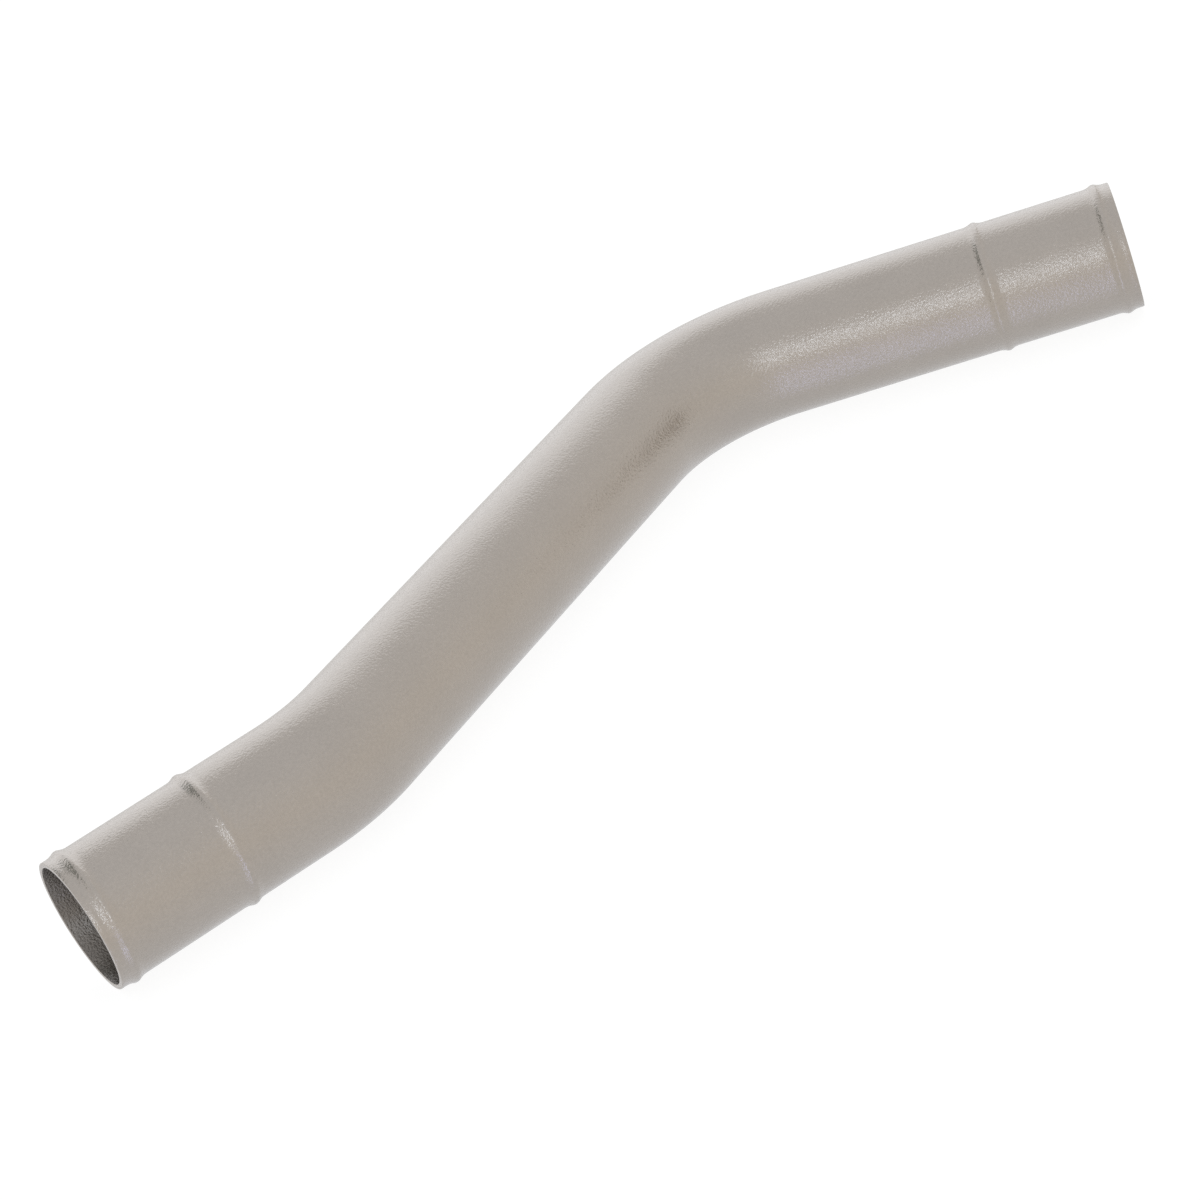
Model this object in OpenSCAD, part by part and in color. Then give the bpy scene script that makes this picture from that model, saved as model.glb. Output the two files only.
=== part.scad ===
// Charge air cooler tube: one aluminium tube with two bends in one plane and
// a pair of hose beads at each end.
// The origin is the centre of the near mouth. +X runs along that end into the
// tube, +Z is up, and the centre line lies in the XY plane.

/* [Tube] */
// Outside diameter of the tube
tube_od = 76.2; // [60:0.1:100]
// Thickness of the wall, the same in the bends. The bore is smooth, so the
// wall is thicker by a bead's height under each bead
wall = 3.05; // [1.5:0.05:5]
// Chamfer on the outer and the inner edge of each sawn mouth
edge_break = 0.4; // [0.1:0.05:0.7]

/* [Route] */
// Straight from the near mouth to the first bend
near_straight = 131.3; // [95:0.1:300]
// Angle of the first bend in degrees, a left turn seen from above
first_bend_angle = 24.467; // [5:0.001:90]
// Straight between the two bends
middle_straight = 296.3; // [20:0.1:600]
// Angle of the second bend in degrees, a right turn seen from above
second_bend_angle = 57.485; // [5:0.001:90]
// Straight from the second bend to the far mouth
far_straight = 212.2; // [95:0.1:400]
// Radius of both bends at the tube's centre line
bend_radius = 114.3; // [60:0.1:300]

/* [Hose beads] */
// Distance from a mouth to the middle of its first bead, which keeps the hose on
first_bead_at = 9.3; // [7:0.1:30]
// Distance from a mouth to the middle of its second bead, where the hose stops
second_bead_at = 82.7; // [40:0.1:120]
// Height of a bead above the tube
bead_height = 1.45; // [0.5:0.05:2.5]
// Radius of a bead's crest
bead_nose_r = 3.6; // [2:0.1:6]
// Radius of the hollow that blends a bead into the tube
bead_blend_r = 10.5; // [4:0.1:14]

/* [Hidden] */
$fn = 120;
aluminium = [0.66, 0.63, 0.59];

outer_r = tube_od / 2;
inner_r = outer_r - wall;

// A bead's crest arc reaches this far into its two blend arcs, so that the
// arcs cross and do not only touch
arc_overlap = 0.004;

// The crest arc runs into a blend arc on each side, and each blend arc runs
// into the tube
arc_radii = bead_nose_r + bead_blend_r;
centre_spacing = arc_radii - arc_overlap;
centre_rise = arc_radii - bead_height;
bead_half = sqrt(pow(centre_spacing, 2) - pow(centre_rise, 2));

// Half section of a bead, with the tube under it. Radius runs along x and the
// tube along y, with y = 0 at the crest. It reaches halfway in to the axis
module bead_section() {
    crest_x = outer_r + bead_height - bead_nose_r;
    shoulder_x = crest_x + bead_nose_r * centre_rise / centre_spacing;
    difference() {
        polygon([
            [outer_r / 2, -bead_half],
            [shoulder_x, -bead_half],
            [shoulder_x, bead_half],
            [outer_r / 2, bead_half]
        ]);
        for (side = [-1, 1])
            translate([outer_r + bead_blend_r, side * bead_half])
                circle(r = bead_blend_r);
    }
    translate([crest_x, 0])
        circle(r = bead_nose_r);
}

// Triangle that the chamfer takes off an edge of the mouth. Side is 1 on the
// outer edge and -1 on the inner one
module edge_section(face_r, side) {
    polygon([
        [face_r - side * edge_break, 0],
        [face_r, 0],
        [face_r, edge_break]
    ]);
}

// Half section of the wall of a straight end with its two beads. The mouth is
// at y = 0
module end_section(length) {
    difference() {
        union() {
            square([outer_r, length]);
            for (bead_at = [first_bead_at, second_bead_at])
                translate([0, bead_at])
                    bead_section();
        }
        square([inner_r, length]);
        edge_section(outer_r, 1);
        edge_section(inner_r, -1);
    }
}

// Straight end with its mouth at the origin, running along +X
module tube_end(length) {
    rotate([0, 90, 0])
        rotate_extrude()
            end_section(length);
}

// Ring of wall across the plain tube
module wall_ring() {
    difference() {
        circle(r = outer_r);
        circle(r = inner_r);
    }
}

// Plain straight that starts at the origin and runs along +X
module plain_tube(length) {
    rotate([0, 90, 0])
        linear_extrude(length)
            wall_ring();
}

// Ring inside the wall, across the plane x = 0, that laps the pieces on its two
// sides. Its section is a diamond as high as the wall
module lap_ring() {
    middle_r = inner_r + wall / 2;
    rotate([0, 90, 0])
        rotate_extrude()
            polygon([
                [inner_r, 0],
                [middle_r, -wall],
                [outer_r, 0],
                [middle_r, wall]
            ]);
}

// Half of space ahead of the plane x = 0, or behind it with side = -1, as far
// as a bend reaches
module half_space(side) {
    reach = 2 * (bend_radius + outer_r);
    translate([side * reach / 2, 0, 0])
        cube(reach, center = true);
}

// Bend that starts at the origin along +X and turns left: the part of a whole
// ring between the planes of its two ends. The section starts at its lowest
// point, as those of the straights do
module bend(angle) {
    translate([0, bend_radius, 0])
        intersection() {
            rotate_extrude()
                translate([bend_radius, 0])
                    rotate(-90)
                        wall_ring();
            half_space(1);
            rotate([0, 0, angle])
                half_space(-1);
        }
}

// Moves its children to the end of such a bend, with +X along the tube
module after_bend(angle) {
    translate([0, bend_radius, 0])
        rotate([0, 0, angle])
            translate([0, -bend_radius, 0])
                children();
}

// The second bend turns the other way, so it and the far end are mirrored
module far_side() {
    mirror([0, 1, 0]) {
        lap_ring();
        bend(second_bend_angle);
        after_bend(second_bend_angle) {
            lap_ring();
            translate([far_straight, 0, 0])
                rotate([0, 0, 180])
                    tube_end(far_straight);
        }
    }
}

// The whole tube: near end, left bend, middle, right bend, far end
module charge_air_tube() {
    color(aluminium) {
        tube_end(near_straight);
        translate([near_straight, 0, 0]) {
            lap_ring();
            bend(first_bend_angle);
            after_bend(first_bend_angle) {
                lap_ring();
                plain_tube(middle_straight);
                translate([middle_straight, 0, 0])
                    far_side();
            }
        }
    }
}

charge_air_tube();
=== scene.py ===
import math

import bpy
from mathutils import Matrix, Vector


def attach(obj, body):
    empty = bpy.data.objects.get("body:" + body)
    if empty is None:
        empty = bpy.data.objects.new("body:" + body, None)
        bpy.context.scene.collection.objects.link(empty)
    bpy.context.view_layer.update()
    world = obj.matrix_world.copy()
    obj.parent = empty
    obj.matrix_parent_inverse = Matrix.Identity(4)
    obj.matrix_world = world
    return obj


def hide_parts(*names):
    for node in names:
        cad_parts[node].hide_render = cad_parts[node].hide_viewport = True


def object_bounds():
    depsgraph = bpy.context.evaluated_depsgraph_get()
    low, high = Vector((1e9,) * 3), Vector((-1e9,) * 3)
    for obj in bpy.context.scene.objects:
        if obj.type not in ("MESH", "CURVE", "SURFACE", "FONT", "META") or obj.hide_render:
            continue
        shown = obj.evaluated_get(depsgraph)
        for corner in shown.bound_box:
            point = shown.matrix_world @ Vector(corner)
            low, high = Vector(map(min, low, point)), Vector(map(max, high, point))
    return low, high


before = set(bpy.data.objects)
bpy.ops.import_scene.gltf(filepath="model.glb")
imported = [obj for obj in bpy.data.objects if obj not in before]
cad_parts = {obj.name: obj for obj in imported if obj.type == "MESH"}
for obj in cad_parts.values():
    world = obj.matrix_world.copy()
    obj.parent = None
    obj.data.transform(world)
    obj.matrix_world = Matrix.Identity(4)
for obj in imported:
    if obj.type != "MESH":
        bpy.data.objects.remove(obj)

cadLow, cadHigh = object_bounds()
scene = bpy.context.scene
scene.view_settings.view_transform = "Standard"
print("frame loaded", tuple(cadLow), tuple(cadHigh))


# camera: the photograph's viewing angle, tilted about its line of sight as the photograph is;
# lengths are in metres, lens and sensor in millimetres

cameraValues = {
    "place": (-0.2756174, -1.4301586, 0.8156086),
    "right": (0.7881899, -0.5224173, -0.3253257),
    "up": (0.5084078, 0.2548268, 0.8225478),
    "lens": 96.617,
    "sensor": 36.0,
    "nearest": 0.05,
    "farthest": 60.0,
}


def addCamera(values):
    data = bpy.data.cameras.new("camera")
    camera = bpy.data.objects.new("camera", data)
    scene.collection.objects.link(camera)
    data.lens = values["lens"]
    data.sensor_width = values["sensor"]
    data.clip_start, data.clip_end = values["nearest"], values["farthest"]
    right, up = Vector(values["right"]), Vector(values["up"])
    turn = Matrix((right, up, right.cross(up))).transposed().to_4x4()
    camera.matrix_world = Matrix.Translation(values["place"]) @ turn
    scene.camera = camera


addCamera(cameraValues)
print("camera ready")


# tube: one ring is pushed and swept along the whole skin, outside and bore;
# lengths are in metres and angles in degrees, to the left if positive

tubeValues = {
    "outerRadius": 0.0381,
    "wall": 0.00305,
    "sides": 192,
    "nearStraight": 0.1313,
    "firstBend": 24.467,
    "middleStraight": 0.2963,
    "secondBend": -57.485,
    "farStraight": 0.2122,
    "bendRadius": 0.1143,
    "bendStep": 1.5,              # from ring to ring in a bend
    "beads": (0.0093, 0.0827),    # from each mouth to the crests
    "beadHeight": 0.00145,
    "crestRadius": 0.0036,
    "blendRadius": 0.0105,
    "crestRings": 9,
    "blendRings": 8,
    "edgeBreak": 0.0004,
    "edgeSegments": 2,
    "edgeAngle": 60.0,            # only the edges of the mouths are sharper
    "smoothAngle": 40.0,
}


def deselectAll():
    for item in bpy.context.selected_objects:
        item.select_set(False)


def beadRings(at, values):
    # distance and radius of each ring over one bead: a blend arc, the crest arc, a blend arc
    tube, crest, blend = values["outerRadius"], values["crestRadius"], values["blendRadius"]
    apart = crest + blend
    slope = math.acos((apart - values["beadHeight"]) / apart)    # where the arcs meet
    half = apart * math.sin(slope)
    flank = []
    for step in range(values["blendRings"]):
        turn = slope * step / values["blendRings"]
        flank.append((half - blend * math.sin(turn), tube + blend * (1 - math.cos(turn))))
    rings = [(at - reach, radius) for reach, radius in flank]
    for step in range(values["crestRings"]):
        turn = slope * (2 * step / (values["crestRings"] - 1) - 1)
        radius = tube + values["beadHeight"] - crest * (1 - math.cos(turn))
        rings.append((at + crest * math.sin(turn), radius))
    return rings + [(at + reach, radius) for reach, radius in reversed(flank)]


def pushRing(ring, distance, radius):
    # extrudes the selected ring along the tube and sizes it about its centre
    step = ring["heading"] * (distance - ring["along"])
    bpy.ops.mesh.extrude_region_move(TRANSFORM_OT_translate={"value": step})
    ring["centre"] = ring["centre"] + step
    if radius != ring["radius"]:
        size = radius / ring["radius"]
        bpy.ops.transform.resize(value=(size, size, size), center_override=ring["centre"])
    ring["along"], ring["radius"] = distance, radius


def sweepRing(ring, degrees, values):
    # spins the selected ring about the bend's pivot; the operator counts its angle the other
    # way round
    side = 1 if degrees > 0 else -1
    left = Vector((-ring["heading"].y, ring["heading"].x, 0))
    pivot = ring["centre"] + left * side * values["bendRadius"]
    bpy.ops.mesh.spin(steps=round(abs(degrees) / values["bendStep"]), angle=math.radians(-degrees),
                      center=pivot, axis=(0, 0, 1), use_auto_merge=False)
    turn = Matrix.Rotation(math.radians(degrees), 3, "Z")
    ring["centre"] = pivot + turn @ (ring["centre"] - pivot)
    ring["heading"] = turn @ ring["heading"]
    ring["along"] = 0.0


def sweepOutside(ring, values):
    outer = values["outerRadius"]
    for at in values["beads"]:
        for distance, radius in beadRings(at, values):
            pushRing(ring, distance, radius)
    pushRing(ring, values["nearStraight"], outer)
    sweepRing(ring, values["firstBend"], values)
    pushRing(ring, values["middleStraight"], outer)
    sweepRing(ring, values["secondBend"], values)
    for at in reversed(values["beads"]):
        for distance, radius in beadRings(values["farStraight"] - at, values):
            pushRing(ring, distance, radius)
    pushRing(ring, values["farStraight"], outer)
    print("outside swept, far mouth at", tuple(round(v, 6) for v in ring["centre"]))


def sweepBore(ring, values):
    # over the far rim, then back to the near mouth with the bends turned the other way
    bore = values["outerRadius"] - values["wall"]
    pushRing(ring, values["farStraight"], bore)
    ring["heading"], ring["along"] = -ring["heading"], 0.0
    pushRing(ring, values["farStraight"], bore)
    sweepRing(ring, -values["secondBend"], values)
    pushRing(ring, values["middleStraight"], bore)
    sweepRing(ring, -values["firstBend"], values)
    pushRing(ring, values["nearStraight"], bore)
    print("bore swept, back at", tuple(round(v, 6) for v in ring["centre"]))


def closeNearRim():
    bpy.ops.mesh.select_all(action="DESELECT")
    bpy.ops.mesh.select_non_manifold()       # the two open rings at the near mouth
    bpy.ops.mesh.bridge_edge_loops()
    bpy.ops.mesh.select_all(action="SELECT")
    bpy.ops.mesh.normals_make_consistent(inside=False)


def makeTube(values):
    deselectAll()
    bpy.ops.mesh.primitive_circle_add(vertices=values["sides"], radius=values["outerRadius"],
                                      location=(0, 0, 0), rotation=(0, math.pi / 2, 0))
    tube = bpy.context.active_object
    tube.name = tube.data.name = "chargeAirTube"
    bpy.ops.object.transform_apply(location=True, rotation=True, scale=True)
    bpy.ops.object.mode_set(mode="EDIT")
    bpy.ops.mesh.select_all(action="SELECT")
    ring = {"centre": Vector((0, 0, 0)), "heading": Vector((1, 0, 0)), "along": 0.0,
            "radius": values["outerRadius"]}
    sweepOutside(ring, values)
    tube.update_from_editmode()
    outsideFaces = len(tube.data.polygons)
    sweepBore(ring, values)
    closeNearRim()
    bpy.ops.object.mode_set(mode="OBJECT")
    # the faces of the bore lie between those of the far rim and those of the near rim; they take
    # the second metal, with its painted shade
    for face in tube.data.polygons[outsideFaces + values["sides"]:-values["sides"]]:
        face.material_index = 1
    return tube


def breakEdges(tube, values):
    bpy.ops.object.modifier_add(type="BEVEL")
    bevel = tube.modifiers[-1]
    bevel.width = values["edgeBreak"]
    bevel.segments = values["edgeSegments"]
    bevel.limit_method = "ANGLE"
    bevel.angle_limit = math.radians(values["edgeAngle"])
    bpy.ops.object.modifier_apply(modifier=bevel.name)
    bpy.ops.object.shade_smooth_by_angle(angle=math.radians(values["smoothAngle"]))
    print("edges broken,", len(tube.data.polygons), "faces")


tube = makeTube(tubeValues)
breakEdges(tube, tubeValues)
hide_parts("charge_air_tube")


# shader nodes: a wire is one output socket, so that maths on it reads as maths

class Wire:
    def __init__(self, sheet, node, output):
        self.sheet = sheet
        self.socket = node.outputs[output] if node.outputs else None    # an output node has none

    def maths(self, operation, left, right):
        return self.sheet.node("ShaderNodeMath", {"operation": operation}, {0: left, 1: right})

    def __add__(self, other):
        return self.maths("ADD", self, other)

    def __sub__(self, other):
        return self.maths("SUBTRACT", self, other)

    def __rsub__(self, other):
        return self.maths("SUBTRACT", other, self)

    def __mul__(self, other):
        return self.maths("MULTIPLY", self, other)

    def __abs__(self):
        return self.maths("ABSOLUTE", self, 0.0)

    __radd__ = __add__
    __rmul__ = __mul__


class Sheet:
    def __init__(self, tree):
        self.tree = tree
        tree.nodes.clear()

    def node(self, kind, settings=None, sockets=None, output=0):
        made = self.tree.nodes.new(kind)
        for name, value in (settings or {}).items():
            setattr(made, name, value)
        for name, value in (sockets or {}).items():
            if isinstance(value, Wire):
                self.tree.links.new(value.socket, made.inputs[name])
            else:
                made.inputs[name].default_value = value
        return Wire(self, made, output)

    def mixColours(self, factor, first, second):
        # a Mix node set to colours takes them at 6 and 7 and gives the mix at 2
        return self.node("ShaderNodeMix", {"data_type": "RGBA"},
                         {0: factor, 6: first, 7: second}, output=2)


def newMaterial(name):
    material = bpy.data.materials.new(name)
    material.use_nodes = True
    return material, Sheet(material.node_tree)


# metals: the satin skin outside and on the rims, and the bore, whose colour is painted darker as
# shade inside the tube

blastedValues = {
    "colour": (0.445, 0.391, 0.336, 1.0),
    "darkColour": (0.340, 0.300, 0.259, 1.0),
    "roughness": 0.265,
    "roughnessSpread": 0.06,
    "grainScale": 700.0,
    "fineScale": 1500.0,
    "grainStrength": 0.8,
    "grainDepth": 0.00042,
    "mottleScale": 35.0,
}

# the bore's colours are painted shade: about half as bright as the skin's, standing in for the
# light that does not reach into the tube
borePaintedShadeValues = {
    "colour": (0.215, 0.190, 0.165, 1.0),
    "darkColour": (0.155, 0.138, 0.120, 1.0),
    "roughness": 0.34,
    "roughnessSpread": 0.10,
    "grainScale": 800.0,
    "fineScale": 1800.0,
    "grainStrength": 0.8,
    "grainDepth": 0.0004,
    "mottleScale": 420.0,
}

noiseValues = {                   # the same in both metals
    "mottleDetail": 3.0,
    "mottleRoughness": 0.55,
    "grainDetail": 1.0,
    "grainRoughness": 0.5,
    "middle": 0.5,                # each noise swings about this value
    "mottleInColour": 0.3,        # share of the mottle in the colour, the rest is grain
    "fineInHeight": 0.25,         # share of the fine grain in the bump, the rest is grain
    "fineRoughnessSpread": 0.1,
}


def addNoise(sheet, place, scale, detail, roughness):
    return sheet.node("ShaderNodeTexNoise", {}, {
        "Vector": place, "Scale": scale, "Detail": detail, "Roughness": roughness})


def makeMetal(name, values, noises):
    material, sheet = newMaterial(name)
    place = sheet.node("ShaderNodeTexCoord", output="Object")
    mottle = addNoise(sheet, place, values["mottleScale"], noises["mottleDetail"],
                      noises["mottleRoughness"])
    grain = addNoise(sheet, place, values["grainScale"], noises["grainDetail"],
                     noises["grainRoughness"])
    fine = addNoise(sheet, place, values["fineScale"], noises["grainDetail"],
                    noises["grainRoughness"])
    mottleShare, fineShare = noises["mottleInColour"], noises["fineInHeight"]
    colour = sheet.mixColours(mottle * mottleShare + grain * (1 - mottleShare),
                              values["darkColour"], values["colour"])
    roughness = ((mottle - noises["middle"]) * values["roughnessSpread"]
                 + (fine - noises["middle"]) * noises["fineRoughnessSpread"]
                 + values["roughness"])
    bump = sheet.node("ShaderNodeBump", {}, {
        "Strength": values["grainStrength"], "Distance": values["grainDepth"],
        "Height": grain * (1 - fineShare) + fine * fineShare})
    surface = sheet.node("ShaderNodeBsdfPrincipled", {}, {
        "Base Color": colour, "Metallic": 1.0, "Roughness": roughness, "Normal": bump})
    sheet.node("ShaderNodeOutputMaterial", {}, {"Surface": surface})
    return material


tube.data.materials.append(makeMetal("blastedAluminium", blastedValues, noiseValues))
# the second metal darkens the bore with painted shade
tube.data.materials.append(makeMetal("boreAluminiumPaintedShade", borePaintedShadeValues, noiseValues))
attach(tube, "root")
print("metal ready")


# stage: a white floor and surround, soft panels, and a dark card for the beads to mirror

stageValues = {
    "floorSize": 12.0,
    "floorCentre": (0.4, 0.0),
    "floorGlow": 0.84,                     # share of its own light, the rest takes the shadow
    "floorWhite": (1.08, 1.08, 1.08, 1.0),
    "floorCloth": (0.90, 0.88, 0.84, 1.0),
    "horizon": (1.0, 1.0, 1.0, 1.0),
    "poles": (0.955, 1.0, 1.075, 1.0),     # above and below, a little cooler
    "cardPlace": (-0.98, 1.43, 2.3),
    "cardSize": (3.0, 0.9),
    "cardCloth": (0.20, 0.22, 0.20, 1.0),
    "lamps": (
        # name, place, size, radiance, colour
        ("backPanel", (0.9, 2.3, 1.1), (4.4, 2.4), 0.57, (0.82, 0.93, 1.10)),
        ("besideCamera", (-0.80, -2.0, 1.05), (0.12, 1.25), 5.6, (0.80, 0.96, 1.20)),
        ("lowFront", (-2.0, -3.0, -2.3), (0.18, 4.0), 3.0, (0.50, 0.60, 1.12)),
    ),
}


def makeFloor(values):
    deselectAll()
    bpy.ops.mesh.primitive_plane_add(size=values["floorSize"],
                                     location=(*values["floorCentre"], cadLow.z))
    floor = bpy.context.active_object
    floor.name = floor.data.name = "floor"
    bpy.ops.object.transform_apply(location=True, rotation=True, scale=True)
    material, sheet = newMaterial("whiteFloor")
    material.cycles.emission_sampling = "NONE"
    # the camera sees the floor, the metal sees the white surround on through it
    seen = sheet.node("ShaderNodeLightPath", output="Is Camera Ray")
    cloth = sheet.node("ShaderNodeBsdfDiffuse", {}, {"Color": values["floorCloth"]})
    glow = sheet.node("ShaderNodeEmission", {}, {"Color": values["floorWhite"], "Strength": 1.0})
    paper = sheet.node("ShaderNodeMixShader", {}, {0: values["floorGlow"], 1: cloth, 2: glow})
    clear = sheet.node("ShaderNodeBsdfTransparent")
    both = sheet.node("ShaderNodeMixShader", {}, {0: seen, 1: clear, 2: paper})
    sheet.node("ShaderNodeOutputMaterial", {}, {"Surface": both})
    floor.data.materials.append(material)


def turnTo(place):
    # the turn that points an object's -Z from this place at the middle of the tube
    middle = (cadLow + cadHigh) / 2
    return (middle - Vector(place)).to_track_quat("-Z", "Y").to_euler()


def makeCard(values):
    deselectAll()
    bpy.ops.mesh.primitive_plane_add(size=1, location=values["cardPlace"],
                                     rotation=turnTo(values["cardPlace"]))
    card = bpy.context.active_object
    card.name = card.data.name = "darkCard"
    card.scale = (values["cardSize"][0], values["cardSize"][1], 1)
    bpy.ops.object.transform_apply(location=True, rotation=True, scale=True)
    material, sheet = newMaterial("darkCloth")
    cloth = sheet.node("ShaderNodeBsdfDiffuse", {}, {"Color": values["cardCloth"]})
    sheet.node("ShaderNodeOutputMaterial", {}, {"Surface": cloth})
    card.data.materials.append(material)


def makeSurround(values):
    world = bpy.data.worlds.new("surround")
    scene.world = world
    world.use_nodes = True
    sheet = Sheet(world.node_tree)
    direction = sheet.node("ShaderNodeTexCoord", output="Generated")
    height = sheet.node("ShaderNodeSeparateXYZ", {}, {"Vector": direction}, output="Z")
    colour = sheet.mixColours(abs(height), values["horizon"], values["poles"])
    white = sheet.node("ShaderNodeBackground", {}, {"Color": colour, "Strength": 1.0})
    sheet.node("ShaderNodeOutputWorld", {}, {"Surface": white})


def addLamps(values):
    for name, place, size, radiance, colour in values["lamps"]:
        data = bpy.data.lights.new(name, "AREA")
        data.shape = "RECTANGLE"
        data.size, data.size_y = size
        data.energy = radiance * math.pi * size[0] * size[1]
        data.color = colour
        lamp = bpy.data.objects.new(name, data)
        scene.collection.objects.link(lamp)
        lamp.location = place
        lamp.rotation_euler = turnTo(place)


makeFloor(stageValues)
makeCard(stageValues)
makeSurround(stageValues)
addLamps(stageValues)
print("stage ready")
